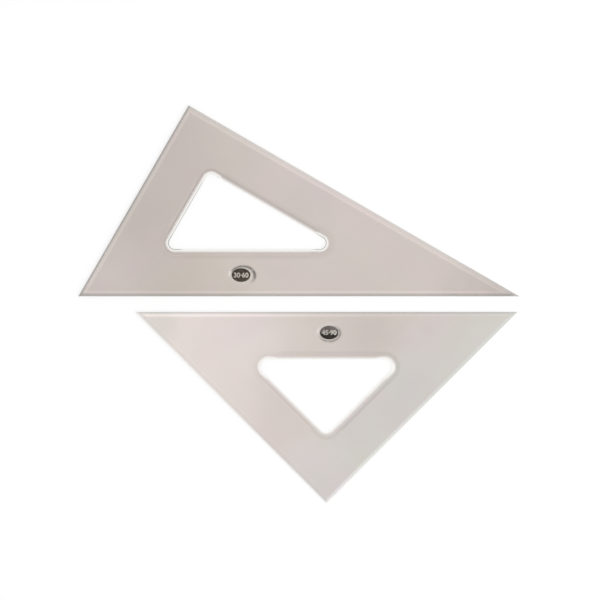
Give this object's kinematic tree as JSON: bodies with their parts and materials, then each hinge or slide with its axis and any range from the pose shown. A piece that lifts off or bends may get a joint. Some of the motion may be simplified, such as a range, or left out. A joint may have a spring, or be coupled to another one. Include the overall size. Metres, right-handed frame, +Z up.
{
  "type": "pair of drafting set squares",
  "caption": "Matched pair of plain clear drafting set squares, a 30/60 and a 45, with bevelled edges, triangular openings and a small inset oval badge each.",
  "frame": {"origin": "bottom centre of the pair's box, on the surface that the squares lie on, midway between the two facing hypotenuses", "axes": "+X along the facing hypotenuses, towards the 30 degree corner; +Y from the 45 towards the 30/60; +Z up, out of the bevelled faces"},
  "size_m": [0.2886, 0.2602, 0.003],
  "materials": {
    "smoked_acrylic": "clear, polished, faint smoke-brown tint",
    "badge_metal": "polished, dark nickel tone",
    "adhesive": "matt, dark grey film"
  },
  "bodies": {
    "set_square_30_60": {"square_30_60": "smoked_acrylic", "badge_30_60": "badge_metal", "badge_pad_30_60": "adhesive"},
    "set_square_45": {"square_45": "smoked_acrylic", "badge_45": "badge_metal", "badge_pad_45": "adhesive"}
  },
  "joints": [
    {"name": "slide_along_edge", "type": "slide", "parent": "set_square_30_60", "child": "set_square_45", "axis": [1, 0, 0], "range_m": [-0.162, 0.126]}
  ]
}
